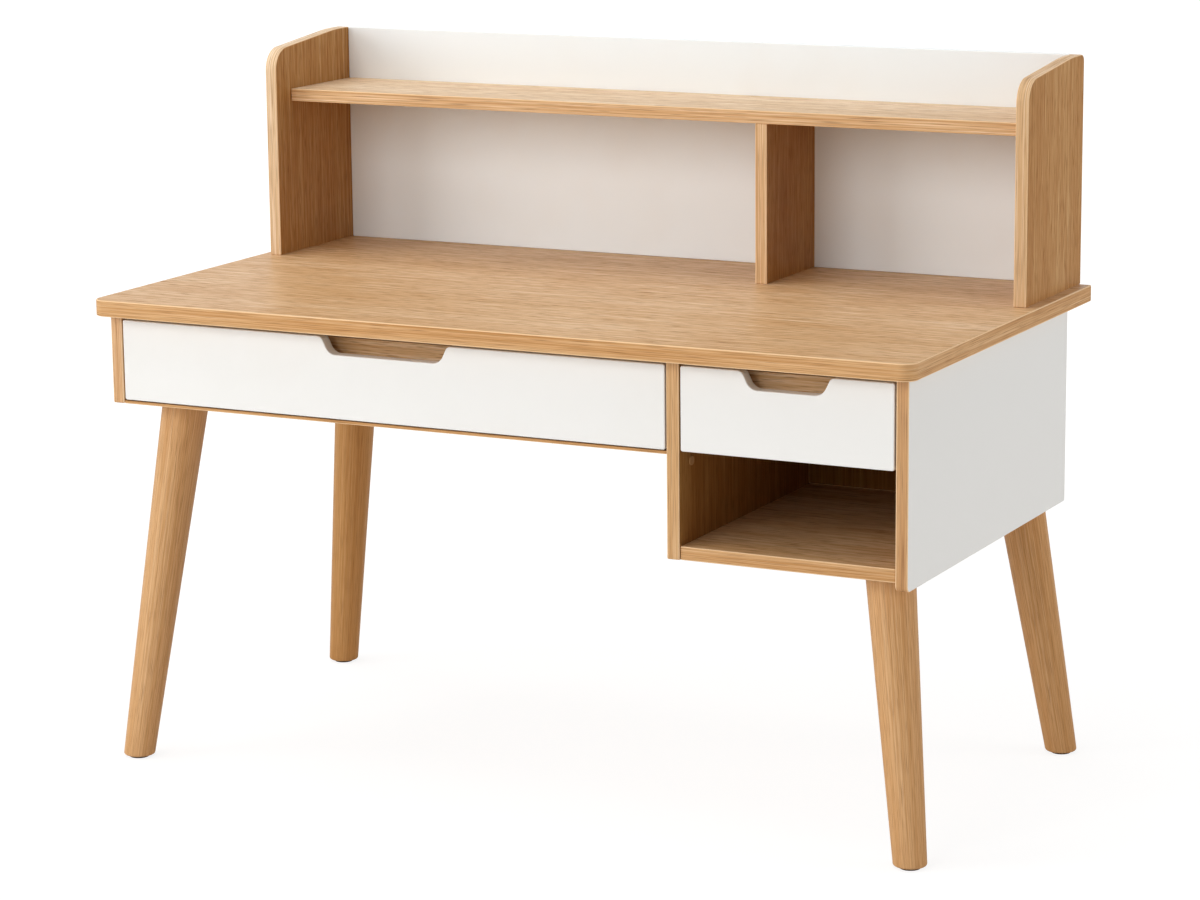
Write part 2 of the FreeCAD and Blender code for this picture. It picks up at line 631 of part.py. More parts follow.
drawer("wide", "bay_left", "bay_right", "(bay_back_front - fronts_back - wide_rear_room)",
       "wide_cut_width", "wide_slide_screw_inset")
drawer("small", "pedestal_left", "pedestal_right", "(cubby_back_front - fronts_back - small_rear_room)",
       "small_cut_width", "small_slide_screw_inset")


def rim(body, spot, diameter):
    """A level round sketch of a body, at a spot of three formulas."""
    sketch = body.newObject("Sketcher::SketchObject", "rim")
    sketch.AttachmentSupport = (plane_of(body, "XY_Plane"), [""])
    sketch.MapMode = "FlatFace"
    sketch.addGeometry(Part.Circle(Vector(), Vector(0, 0, 1), number(diameter) / 2), False)
    sketch.addConstraint(Sketcher.Constraint("Coincident", 0, 3, -1, 1))
    width = sketch.addConstraint(Sketcher.Constraint("Diameter", 0, number(diameter)))
    sketch.renameConstraint(width, "width")
    sketch.setExpression("Constraints.width", formula(diameter))
    for axis, text in zip("xyz", spot):
        sketch.setExpression(f"AttachmentOffset.Base.{axis}", formula(text))
    return sketch


def leg(node, foot_x, inward, foot_y, top_y, towards_middle, height, seat, carrier):
    """One turned leg from its foot glide up to the board that it is bolted to."""
    top_x = f"{foot_x} {inward} leg_side_run * {height} / leg_right_height"
    body = doc.addObject("PartDesign::Body", f"{node}_blank")
    taper = body.newObject("PartDesign::AdditiveLoft", f"{node}_taper")
    taper.Profile = rim(body, (top_x, top_y, seat), "leg_top_diameter")
    taper.Sections = [rim(body, (foot_x, foot_y, "glide_height"), "leg_foot_diameter")]
    taper.Ruled = True
    doc.recompute()
    foot_edges = [f"Edge{index}" for index, edge in enumerate(taper.Shape.Edges, start=1)
                  if edge.BoundBox.ZMax < number(seat) / 2]
    rounded(body, foot_edges, "leg_foot_round")
    blanks[node] = body

    seat_spot = (top_x, top_y, seat)
    bolt_start = moved(seat_spot, "-z", "leg_bolt_in_leg")
    bolt_length = "leg_bolt_in_leg + insert_length"
    grouped("leg_bolts", rod("leg_bolt", "+z", bolt_start, "leg_bolt_diameter", bolt_length))
    hole("+z", bolt_start, "leg_bolt_diameter", bolt_length, node)
    insert = doc.addObject("Part::Cut", "leg_insert")
    insert.Base = rod("insert_barrel", "+z", seat_spot, "insert_diameter", "insert_length")
    insert.Tool = rod("insert_thread", "+z", seat_spot, "leg_bolt_diameter + 2 * hole_play", "insert_length")
    grouped("leg_inserts", insert)
    hole("+z", seat_spot, "insert_diameter", "insert_length", carrier)
    lock_spot = (top_x, f"{top_y} {towards_middle} leg_dowel_offset", seat)
    dowel("panel_dowels", "-z", lock_spot, "dowel_diameter", carrier, node)

    foot = (foot_x, foot_y, "0")
    pad = rod("glide_pad", "+z", foot, "glide_diameter", "glide_height")
    nail = rod("glide_nail", "+z", foot, "glide_nail_diameter", "glide_height + glide_nail_length")
    grouped("foot_glides", fused("foot_glide", pad, nail))
    hole("+z", (foot_x, foot_y, "glide_height"), "glide_nail_diameter", "glide_nail_length", node)


LEFT_SIDE = ("0 - foot_side", "+")
RIGHT_SIDE = ("foot_side", "-")
FRONT = ("foot_front", "seat_front", "+")
REAR = ("foot_rear", "seat_rear", "-")
leg("leg_front_left", *LEFT_SIDE, *FRONT, "leg_left_height", "bay_base", "bay_bottom")
leg("leg_rear_left", *LEFT_SIDE, *REAR, "leg_left_height", "bay_base", "bay_bottom")
leg("leg_front_right", *RIGHT_SIDE, *FRONT, "leg_right_height", "pedestal_base", "cubby_floor")
leg("leg_rear_right", *RIGHT_SIDE, *REAR, "leg_right_height", "pedestal_base", "cubby_floor")

# Dowels between the desktop and the boards that carry it
for carrier, across in (("left_side_panel", "left_outer + panel_thickness / 2"),
                        ("partition", "bay_right + panel_thickness / 2"),
                        ("right_side_panel", "right_outer - panel_thickness / 2")):
    for along in ("carcass_front + top_dowel_inset", "carcass_rear - top_dowel_inset"):
        dowel("panel_dowels", "-z", (across, along, "top_under"), "dowel_diameter", "desktop", carrier)

# Dowels between the level boards of the carcass and the uprights at their ends
LEVEL_JOINTS = (
    ("left_side_panel", "bay_bottom", "+x", "bay_left", "bay_bottom_front", "bay_base"),
    ("partition", "bay_bottom", "-x", "bay_right", "bay_bottom_front", "bay_base"),
    ("partition", "cubby_floor", "+x", "pedestal_left", "cubby_floor_front", "pedestal_base"),
    ("right_side_panel", "cubby_floor", "-x", "pedestal_right", "cubby_floor_front", "pedestal_base"),
)
for upright, level, along, joint, start, base in LEVEL_JOINTS:
    for depth in (f"{start} + dowel_inset", f"({start} + carcass_rear) / 2", "carcass_rear - dowel_inset"):
        dowel("panel_dowels", along, (joint, depth, f"{base} + panel_thickness / 2"), "dowel_diameter",
              upright, level)

# Dowels between the two back boards and the uprights at their ends
BACK_JOINTS = (
    ("left_side_panel", "bay_back", "+x", "bay_left", "bay_back_front", "bay_floor"),
    ("partition", "bay_back", "-x", "bay_right", "bay_back_front", "bay_floor"),
    ("partition", "cubby_back", "+x", "pedestal_left", "cubby_back_front", "cubby_deck"),
    ("right_side_panel", "cubby_back", "-x", "pedestal_right", "cubby_back_front", "cubby_deck"),
)
for upright, back, along, joint, face, base in BACK_JOINTS:
    for height in (f"{base} + dowel_inset / 2", "top_under - dowel_inset / 2"):
        dowel("panel_dowels", along, (joint, f"{face} + panel_thickness / 2", height), "dowel_diameter",
              upright, back)

# Dowels of the hutch shelf
for upright, along, joint in (("hutch_left_end", "+x", "hutch_left_face"),
                              ("hutch_right_end", "-x", "hutch_right_face")):
    for depth in ("shelf_front + dowel_inset", "hutch_back_face - dowel_inset"):
        dowel("panel_dowels", along, (joint, depth, "shelf_top - panel_thickness / 2"), "dowel_diameter",
              upright, "hutch_shelf")
for depth in ("divider_front + dowel_inset", "hutch_back_face - dowel_inset"):
    dowel("panel_dowels", "-z", ("divider_left + panel_thickness / 2", depth, "shelf_under"),
          "dowel_diameter", "hutch_shelf", "hutch_divider")

# Connecting screws: up into the hutch uprights, up into the two back boards, across into the cubby floor
for upright, across, start, end in (
        ("hutch_left_end", "hutch_left + panel_thickness / 2", "hutch_front", "rear_edge"),
        ("hutch_right_end", "hutch_right - panel_thickness / 2", "hutch_front", "rear_edge"),
        ("hutch_divider", "divider_left + panel_thickness / 2", "divider_front", "hutch_back_face")):
    for depth in (f"{start} + confirmat_inset", f"{end} - confirmat_inset"):
        confirmat("+z", (across, depth, "top_under"), "desktop", upright)
for across in ("bay_left + rail_screw_inset", "(bay_left + bay_right) / 2", "bay_right - rail_screw_inset"):
    confirmat("+z", (across, "bay_back_front + panel_thickness / 2", "bay_base"), "bay_bottom", "bay_back")
for across in ("pedestal_left + rail_screw_inset", "pedestal_right - rail_screw_inset"):
    confirmat("+z", (across, "cubby_back_front + panel_thickness / 2", "pedestal_base"),
              "cubby_floor", "cubby_back")
for depth in ("cubby_floor_front + floor_screw_inset", "carcass_rear - floor_screw_inset"):
    confirmat("+x", ("bay_right", depth, "pedestal_base + panel_thickness / 2"), "partition", "cubby_floor")

# Screws through the hutch back into the shelf and the divider
for across in ("hutch_left_face + back_screw_inset", "(hutch_left_face + hutch_right_face) / 2",
               "hutch_right_face - back_screw_inset"):
    flat_screw("hutch_back_screws", "-y", (across, "rear_edge", "shelf_top - panel_thickness / 2"),
               "back_screw_length", "hutch_back", "hutch_shelf")
for height in ("desk_height + back_screw_inset", "shelf_under - back_screw_inset"):
    flat_screw("hutch_back_screws", "-y", ("divider_left + panel_thickness / 2", "rear_edge", height),
               "back_screw_length", "hutch_back", "hutch_divider")


def bracket(name, wall, inward, level, downward, depth):
    """A steel corner bracket between an upright's face and the underside of a level board."""
    wall_end = moved((wall, depth, level), inward, "bracket_steel")[0]
    level_end = moved((wall, depth, level), inward, "bracket_leg")[0]
    width = (f"{depth} - bracket_width / 2", f"{depth} + bracket_width / 2")
    across_wall = (wall, wall_end) if inward == "+x" else (wall_end, wall)
    across_level = (wall, level_end) if inward == "+x" else (level_end, wall)
    upright = box("bracket_upright", across_wall, width, (f"{level} - bracket_leg", level))
    flat = box("bracket_flat", across_level, width, (f"{level} - bracket_steel", level))
    blanks[name] = fused(name + "_blank", upright, flat)
    screw_spot = moved((wall, depth, f"{level} - bracket_steel"), inward, "bracket_hole")
    pan_screw("panel_screws", "+z", screw_spot, name, downward)
    return moved((wall, depth, f"{level} - bracket_hole"), inward, "bracket_steel")


# Brackets that hold the desktop down on the uprights
brackets = []
for upright, wall, inward in (("left_side_panel", "bay_left", "+x"), ("partition", "bay_right", "-x"),
                              ("right_side_panel", "pedestal_right", "-x")):
    for end in ("bracket_front", "bracket_rear"):
        name = f"bracket_{upright}_{end}"
        spot = bracket(name, wall, inward, "top_under", "desktop", end)
        outward = "-x" if inward == "+x" else "+x"
        pan_screw("panel_screws", outward, spot, name, upright)
        brackets.append(name)

# Brackets under the bay bottom, bolted through the partition from the cubby's side
for end in ("bracket_front", "bracket_rear"):
    name = f"bracket_bay_{end}"
    spot = bracket(name, "bay_right", "-x", "bay_base", "bay_bottom", end)
    head_spot = ("pedestal_left", end, "bay_base - bracket_hole")
    head = rod("bolt_head", "+x", head_spot, "bolt_head_diameter", "bolt_head_height")
    shank_length = "panel_thickness + bracket_steel + nut_height"
    shank = rod("bolt_shank", "-x", head_spot, "bolt_diameter", shank_length)
    grouped("bracket_bolts", fused("bracket_bolt", head, shank))
    hole("-x", head_spot, "bolt_diameter", shank_length, "partition", name)
    nut = doc.addObject("Part::Cut", "bracket_nut")
    nut.Base = rod("nut_body", "-x", spot, "nut_diameter", "nut_height")
    nut.Tool = rod("nut_thread", "-x", spot, "bolt_diameter + 2 * hole_play", "nut_height")
    grouped("bracket_nuts", nut)
    brackets.append(name)


def finished(name):
    """A piece with all its holes and grooves cut."""
    blank = blanks[name]
    if name not in bores:
        return blank
    cutters = doc.addObject("Part::Compound", name + "_cutters")
    cutters.Links = bores[name]
    piece = doc.addObject("Part::Cut", name)
    piece.Base = blank
    piece.Tool = cutters
    return piece


for name in blanks:
    if name in brackets:
        grouped("corner_brackets", finished(name))
    else:
        nodes[name] = finished(name)
for name, solids in groups.items():
    nodes[name] = doc.addObject("Part::Compound", name)
    nodes[name].Links = solids
for name, piece in nodes.items():
    piece.Label = name
doc.recompute()

for item in doc.Objects:
    if "Invalid" in item.State or "Error" in item.State:
        raise RuntimeError(f"{item.Name} failed: {item.State}")
for name, piece in nodes.items():
    if piece.Shape.isNull() or not piece.Shape.isValid():
        raise RuntimeError(f"{name} has no valid shape")

os.makedirs("parts", exist_ok=True)
for name, piece in nodes.items():
    piece.Shape.exportStep(f"parts/{name}.step")
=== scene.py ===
"""Student desk with hutch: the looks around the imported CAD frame.

Metres, in the CAD's own frame: X runs to the sitter's right, Y to the wall, Z up, floor at zero.
"""
import math

import bpy
from mathutils import Matrix, Vector


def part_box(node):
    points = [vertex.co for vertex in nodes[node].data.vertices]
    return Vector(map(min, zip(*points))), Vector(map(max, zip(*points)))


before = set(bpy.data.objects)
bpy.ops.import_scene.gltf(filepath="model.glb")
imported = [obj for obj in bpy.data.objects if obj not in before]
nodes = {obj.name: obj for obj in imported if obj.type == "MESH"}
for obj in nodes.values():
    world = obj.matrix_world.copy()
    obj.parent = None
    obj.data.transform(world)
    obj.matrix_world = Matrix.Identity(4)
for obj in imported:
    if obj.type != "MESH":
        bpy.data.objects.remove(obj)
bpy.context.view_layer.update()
bpy.ops.object.select_all(action="DESELECT")

# Partition, level boards and back boards of the carcass: 18 mm chipboard faced with oak veneer and
# banded with oak strip. The veneer is pressed on along each board and the strip is glued round its
# edges, so the grain changes direction at the eased arris.
MM = 0.001
X, Y, Z = 0, 1, 2
OAK = "#cb9a67"
OAK_SHADE_BROWNING = "#dfffff"
OAK_STREAK = "#dac2a1"
OAK_PORE = "#875a31"
OAK_ARRIS_HIGHLIGHT = "#ecc89c"
OAK_ROUGHNESS, PORE_ROUGHNESS = 0.38, 0.8
OAK_IOR = 1.2
GRAIN_CONTRAST = 0.5
FIGURE_WIDTH, FIGURE_LENGTH = 4.5 * MM, 220 * MM
FIBRE_WIDTH, FIBRE_LENGTH = 1.7 * MM, 75 * MM
CLOUD_WIDTH, CLOUD_LENGTH = 90 * MM, 700 * MM
PORE_WIDTH, PORE_LENGTH = 1.8 * MM, 28 * MM
FIBRE_SHARE, CLOUD_SHARE, PORE_SHARE = 0.5, 0.18, 0.65
GRAIN_DEPTH = 0.3 * MM
VENEER_STEP = 370 * MM
FLAT_FACE = 0.7
STRIP_FINENESS = 2.0
# Places of the Mix node's sockets: how much of the second is taken, then the pair that is mixed
SHARE = 0
LOW, HIGH = 2, 3
LOW_VECTOR, HIGH_VECTOR = 4, 5
FROM, TO = 6, 7


def linear(hex_colour):
    """An sRGB hex colour as linear red, green, blue and alpha."""
    levels = [int(hex_colour[start:start + 2], 16) / 255 for start in (1, 3, 5)]
    return tuple(v / 12.92 if v <= 0.04045 else ((v + 0.055) / 1.055) ** 2.4 for v in levels) + (1.0,)


def add(material, kind, inputs=None, **settings):
    """Add a node with its settings. An input is a value, a socket, or a node's first open output."""
    tree = material.node_tree
    node = tree.nodes.new("ShaderNode" + kind)
    for name, value in settings.items():
        setattr(node, name, value)
    for socket, value in (inputs or {}).items():
        if isinstance(value, bpy.types.Node):
            value = next(output for output in value.outputs if output.enabled)
        if isinstance(value, bpy.types.NodeSocket):
            tree.links.new(value, node.inputs[socket])
        else:
            node.inputs[socket].default_value = value
    return node


def surface(name):
    """A new material that is still without a shader."""
    material = bpy.data.materials.new(name)
    material.use_nodes = True
    material.node_tree.nodes.clear()
    return material


def shade(material, **inputs):
    """Give a material its shader, with the shader's socket names written with underscores."""
    sockets = {name.replace("_", " "): value for name, value in inputs.items()}
    add(material, "OutputMaterial", {"Surface": add(material, "BsdfPrincipled", sockets)})


def cover(material, *names):
    """Put a material on CAD nodes."""
    for name in names:
        for slot in nodes[name].material_slots:
            slot.material = material


def oak(material, along, across, depth, stain=1.0, arris_highlight=0.0, contrast=GRAIN_CONTRAST):
    """Oak's colour, roughness and normal from distances along, across and into its grain.

    Stain is how deep the whole sheet is coloured, and it also holds painted shade on some boards and
    painted light on others.
    The arris share is how much painted highlight the eased arris gets, and contrast is how far the
    streaks stand out.
    """
    def streaks(length, width, detail, layer):
        """Noise drawn out along the grain. Each layer is a different part of the noise."""
        run = add(material, "Math", {0: along, 1: length}, operation="DIVIDE")
        side = add(material, "Math", {0: across, 1: width}, operation="DIVIDE")
        inward = add(material, "Math", {0: depth, 1: width}, operation="DIVIDE")
        place = add(material, "CombineXYZ", {"X": run, "Y": side, "Z": inward})
        moved = add(material, "VectorMath", {0: place, 1: (layer, layer, layer)}, operation="ADD")
        return add(material, "TexNoise", {"Vector": moved, "Scale": 1.0, "Detail": detail})

    figure = streaks(FIGURE_LENGTH, FIGURE_WIDTH, detail=3.0, layer=0.0)
    fibre = streaks(FIBRE_LENGTH, FIBRE_WIDTH, detail=2.0, layer=7.3)
    cloud = streaks(CLOUD_LENGTH, CLOUD_WIDTH, detail=1.0, layer=13.1)
    # Real pores are a third of a millimetre wide: they are drawn coarser, so that they show
    speckle = streaks(PORE_LENGTH, PORE_WIDTH, detail=1.0, layer=19.7)
    pores = add(material, "MapRange", {"Value": speckle, "From Min": 0.54, "From Max": 0.72,
                                       "To Max": PORE_SHARE})
    grain = add(material, "Mix", {SHARE: FIBRE_SHARE, LOW: figure, HIGH: fibre})
    mottled = add(material, "Mix", {SHARE: CLOUD_SHARE, LOW: grain, HIGH: cloud})
    streak = add(material, "MapRange", {"Value": mottled, "From Min": 0.4, "From Max": 0.6,
                                        "To Min": contrast, "To Max": -contrast}, clamp=False)
    # Deeper wood is darker and redder together, as a power of one colour is. Above 1 the depth is mostly
    # painted shade on boards that stand in shade, and there it turns browner and less red.
    dyed = add(material, "Gamma", {"Color": linear(OAK), "Gamma": stain})
    extra = add(material, "MapRange", {"Value": stain, "From Min": 1.0, "From Max": 3.0, "To Max": 2.0})
    brown = add(material, "Gamma", {"Color": linear(OAK_SHADE_BROWNING), "Gamma": extra})
    sheet = add(material, "Mix", {SHARE: 1.0, FROM: dyed, TO: brown},
                data_type="RGBA", blend_type="MULTIPLY")
    lines = add(material, "Gamma", {"Color": linear(OAK_STREAK), "Gamma": streak})
    wood = add(material, "Mix", {SHARE: 1.0, FROM: sheet, TO: lines},
               data_type="RGBA", blend_type="MULTIPLY")
    streaked = add(material, "Mix", {SHARE: pores, FROM: wood, TO: linear(OAK_PORE)}, data_type="RGBA")
    # Painted highlight: the eased arris is given paler wood, for the light it catches
    colour = add(material, "Mix", {SHARE: arris_highlight, FROM: streaked, TO: linear(OAK_ARRIS_HIGHLIGHT)}, data_type="RGBA")
    roughness = add(material, "MapRange", {"Value": pores, "To Min": OAK_ROUGHNESS,
                                           "To Max": PORE_ROUGHNESS})
    relief = add(material, "Math", {0: fibre, 1: pores}, operation="SUBTRACT")
    normal = add(material, "Bump", {"Strength": 0.2, "Distance": GRAIN_DEPTH, "Height": relief})
    return colour, roughness, normal


def board_grain(material, thin, grain, sheet, face_stain, edge_stain):
    """What oak needs at each spot of a board: faces and edge strip have their own grain and stain.

    Thin is the axis through the board, grain the axis along it, and sheet tells its veneer from others.
    The stains of face and edge also hold painted shade on some boards and painted light on others.
    """
    spot = add(material, "SeparateXYZ", {0: add(material, "TexCoord").outputs["Object"]}).outputs
    facing = add(material, "SeparateXYZ", {0: add(material, "NewGeometry").outputs["Normal"]}).outputs
    wide = X + Y + Z - thin - grain
    flat = add(material, "Math", {0: facing[thin]}, operation="ABSOLUTE")
    on_face = add(material, "Math", {0: flat, 1: FLAT_FACE}, operation="GREATER_THAN")
    from_middle = add(material, "Math", {0: spot[grain]}, operation="ABSOLUTE")
    round_edge = add(material, "Math", {0: from_middle, 1: spot[wide]}, operation="ADD")
    # The edge strip is cut from straighter wood, with finer and longer lines
    strip_run = add(material, "Math", {0: round_edge, 1: STRIP_FINENESS}, operation="DIVIDE")
    strip_side = add(material, "Math", {0: spot[thin], 1: STRIP_FINENESS}, operation="MULTIPLY")
    along = add(material, "Mix", {SHARE: on_face, LOW: strip_run, HIGH: spot[grain]})
    across = add(material, "Mix", {SHARE: on_face, LOW: strip_side, HIGH: spot[wide]})
    depth = add(material, "Math", {0: on_face, 1: sheet * VENEER_STEP}, operation="ADD")
    stain = add(material, "Mix", {SHARE: on_face, LOW: edge_stain, HIGH: face_stain})
    # Share of painted highlight: one on an arris that leans halfway between face and edge, nought on both
    lean = add(material, "MapRange", {"Value": flat, "From Min": 1.0, "From Max": 0.8})
    from_edge = add(material, "MapRange", {"Value": flat, "From Min": 0.1, "From Max": 0.4})
    arris_highlight = add(material, "Math", {0: lean, 1: from_edge}, operation="MULTIPLY")
    return along, across, depth, stain, arris_highlight


def oak_board(name, thin, grain, sheet, face_stain=1.0, edge_stain=1.0):
    """Satin-lacquered oak veneer on a board: fine long streaks, short dark pores, a soft sheen."""
    material = surface(name)
    spot = board_grain(material, thin, grain, sheet, face_stain, edge_stain)
    colour, roughness, normal = oak(material, *spot)
    shade(material, Base_Color=colour, Roughness=roughness, IOR=OAK_IOR, Normal=normal)
    return material


def veneer(board, **look):
    """Cover one board with its own sheet of oak."""
    cover(oak_board("oak_veneer_" + board, **look), board)


# Painted shade: the partition's faces and the cubby's back are stained deeper, for the shade inside the
# cubby.
veneer("partition", thin=X, grain=Z, sheet=1, face_stain=1.55, edge_stain=0.72)
veneer("bay_bottom", thin=Z, grain=X, sheet=2)
veneer("bay_back", thin=Y, grain=X, sheet=3)
veneer("cubby_floor", thin=Z, grain=X, sheet=4, face_stain=0.85, edge_stain=0.9)
veneer("cubby_back", thin=Y, grain=Z, sheet=5, face_stain=2.1)

# Side panels: the same 18 mm board, faced white outside and oak inside, with oak strip on the edges.
# The white face is a smooth pressed foil with a satin sheen and the faint ripple of the board below.
LACQUER_WHITE = "#ecebe8"
LACQUER_ROUGHNESS = 0.38
RIPPLE, RIPPLE_DEPTH = 6 * MM, 0.2 * MM


def white_relief(material):
    """The faint orange peel of a sprayed or pressed white face."""
    place = add(material, "TexCoord").outputs["Object"]
    peel = add(material, "TexNoise", {"Vector": place, "Scale": 1 / RIPPLE, "Detail": 2.0})
    return add(material, "Bump", {"Strength": 0.05, "Distance": RIPPLE_DEPTH, "Height": peel})


def white_outside(name, outward, sheet, edge_stain):
    """A board with a white outer face and oak elsewhere. Outward is the sign of X on its outer side."""
    material = surface(name)
    spot = board_grain(material, thin=X, grain=Z, sheet=sheet, face_stain=1.0, edge_stain=edge_stain)
    colour, roughness, normal = oak(material, *spot)
    facing = add(material, "SeparateXYZ", {0: add(material, "NewGeometry").outputs["Normal"]}).outputs[X]
    turned = add(material, "Math", {0: facing, 1: outward}, operation="MULTIPLY")
    white = add(material, "Math", {0: turned, 1: FLAT_FACE}, operation="GREATER_THAN")
    colour = add(material, "Mix", {SHARE: white, FROM: colour, TO: linear(LACQUER_WHITE)},
                 data_type="RGBA")
    roughness = add(material, "Mix", {SHARE: white, LOW: roughness, HIGH: LACQUER_ROUGHNESS})
    normal = add(material, "Mix", {SHARE: white, LOW_VECTOR: normal, HIGH_VECTOR: white_relief(material)},
                 data_type="VECTOR")
    shade(material, Base_Color=colour, Roughness=roughness, Normal=normal)
    return material


cover(white_outside("white_faced_oak_edged_left", outward=-1.0, sheet=6, edge_stain=1.0),
      "left_side_panel")
cover(white_outside("white_faced_oak_edged_right", outward=1.0, sheet=7, edge_stain=1.06),
      "right_side_panel")

# Legs: turned from solid oak, tapered and splayed, with the foot's rim rounded over. Each is screwed
# up into its board on a hanger bolt. The grain runs along the leg's own leaning line.
LEG_TOP_RADIUS = 32.5 * MM
LEG_FOOT_RADIUS = 22 * MM
TURNED_FINENESS = 3.0
TURNED_RUN = 0.8
TURNED_CONTRAST = 0.35
# Painted shade: the rear legs are stained deeper, for the shade of the desk over them.
LEG_STAINS_AND_PAINTED_SHADE = {"leg_front_left": 0.95, "leg_front_right": 0.97,
              "leg_rear_left": 1.25, "leg_rear_right": 1.04}
TO_WALL = Vector((0, 1, 0))


def leg_line(name):
    """Foot and top of a leg's middle line, from the box of its CAD node."""
    low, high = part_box(name)
    foot = Vector((0, 0, low.z))
    top = Vector((0, 0, high.z))
    for axis in (X, Y):
        if low[axis] + high[axis] < 0:
            foot[axis] = low[axis] + LEG_FOOT_RADIUS
            top[axis] = high[axis] - LEG_TOP_RADIUS
        else:
            foot[axis] = high[axis] - LEG_FOOT_RADIUS
            top[axis] = low[axis] + LEG_TOP_RADIUS
    return foot, top


for name, stain in LEG_STAINS_AND_PAINTED_SHADE.items():
    foot, top = leg_line(name)
    line = (top - foot).normalized()
    side = line.cross(TO_WALL).normalized()
    front = line.cross(side)
    girth = LEG_TOP_RADIUS * TURNED_FINENESS
    material = surface("turned_oak_" + name)
    place = add(material, "TexCoord").outputs["Object"]
    from_foot = add(material, "VectorMath", {0: place, 1: tuple(foot)}, operation="SUBTRACT")
    up_line = add(material, "VectorMath", {0: from_foot, 1: tuple(line)}, operation="PROJECT")
    off_line = add(material, "VectorMath", {0: from_foot, 1: up_line}, operation="SUBTRACT")
    # Only the direction from the middle line counts, so the streaks keep straight down the taper
    round_leg = add(material, "VectorMath", {0: off_line}, operation="NORMALIZE")
    ways = ((from_foot, line * TURNED_RUN), (round_leg, side * girth), (round_leg, front * girth))
    spot = [add(material, "VectorMath", {0: start, 1: tuple(way)},
                operation="DOT_PRODUCT").outputs["Value"] for start, way in ways]
    colour, roughness, normal = oak(material, *spot, stain, contrast=TURNED_CONTRAST)
    shade(material, Base_Color=colour, Roughness=roughness, IOR=OAK_IOR, Normal=normal)
    cover(material, name)

# Foot glides: round pads moulded from dark brown plastic, each nailed up into the foot of a leg.
# They are dull and lightly scuffed.
GLIDE_BROWN = "#3a2a20"
GLIDE_SCUFF = "#57463a"
GLIDE_ROUGHNESS = 0.6
SCUFF, SCUFF_DEPTH = 4 * MM, 0.2 * MM
material = surface("dark_moulded_plastic")
place = add(material, "TexCoord").outputs["Object"]
scuffs = add(material, "TexNoise", {"Vector": place, "Scale": 1 / SCUFF, "Detail": 4.0})
worn = add(material, "MapRange", {"Value": scuffs, "From Min": 0.45, "From Max": 0.75})
colour = add(material, "Mix", {SHARE: worn, FROM: linear(GLIDE_BROWN), TO: linear(GLIDE_SCUFF)},
             data_type="RGBA")
normal = add(material, "Bump", {"Strength": 0.1, "Distance": SCUFF_DEPTH, "Height": scuffs})
shade(material, Base_Color=colour, Roughness=GLIDE_ROUGHNESS, Normal=normal)
cover(material, "foot_glides")

# Steel fixings of the carcass: brackets, screws, nuts, hanger bolts and inserts in bright zinc plate.
# The plate is a cool grey with a soft satin gloss, faintly clouded where it was dipped.
ZINC_PALE = "#c9ccd0"
ZINC_DARK = "#9fa3a9"
ZINC_CLOUD, ZINC_DEPTH = 9 * MM, 0.1 * MM
zinc = surface("zinc_plated_steel")
place = add(zinc, "TexCoord").outputs["Object"]
cloud = add(zinc, "TexNoise", {"Vector": place, "Scale": 1 / ZINC_CLOUD, "Detail": 5.0})
plate = add(zinc, "MapRange", {"Value": cloud, "From Min": 0.3, "From Max": 0.7})
colour = add(zinc, "Mix", {SHARE: plate, FROM: linear(ZINC_DARK), TO: linear(ZINC_PALE)},
             data_type="RGBA")
roughness = add(zinc, "MapRange", {"Value": plate, "To Min": 0.42, "To Max": 0.28})
normal = add(zinc, "Bump", {"Strength": 0.06, "Distance": ZINC_DEPTH, "Height": cloud})
shade(zinc, Base_Color=colour, Metallic=1.0, Roughness=roughness, Normal=normal)
cover(zinc, "confirmat_screws", "corner_brackets", "panel_screws", "bracket_nuts", "leg_bolts",
      "leg_inserts", "hutch_back_screws")

# Bracket bolts: zinc-plated shanks through the partition, their heads under oak-brown plastic caps
# that nearly vanish against the veneer inside the cubby.
CAP_BROWN = "#b98c5c"
CAP_ROUGHNESS = 0.4
CAP_TOLERANCE = 0.1 * MM
CAP_SPECK, CAP_DEPTH = 1.5 * MM, 0.1 * MM
material = surface("capped_bolt")
cap_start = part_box("partition")[1].x
place = add(material, "TexCoord").outputs["Object"]
across = add(material, "SeparateXYZ", {0: place}).outputs[X]
cap = add(material, "Math", {0: across, 1: cap_start - CAP_TOLERANCE}, operation="GREATER_THAN")
speck = add(material, "TexNoise", {"Vector": place, "Scale": 1 / CAP_SPECK, "Detail": 2.0})
bare = add(material, "Math", {0: 1.0, 1: cap}, operation="SUBTRACT")
colour = add(material, "Mix", {SHARE: cap, FROM: linear(ZINC_PALE), TO: linear(CAP_BROWN)},
             data_type="RGBA")
normal = add(material, "Bump", {"Strength": 0.05, "Distance": CAP_DEPTH, "Height": speck})
shade(material, Base_Color=colour, Metallic=bare, Roughness=CAP_ROUGHNESS, Normal=normal)
cover(material, "bracket_bolts")

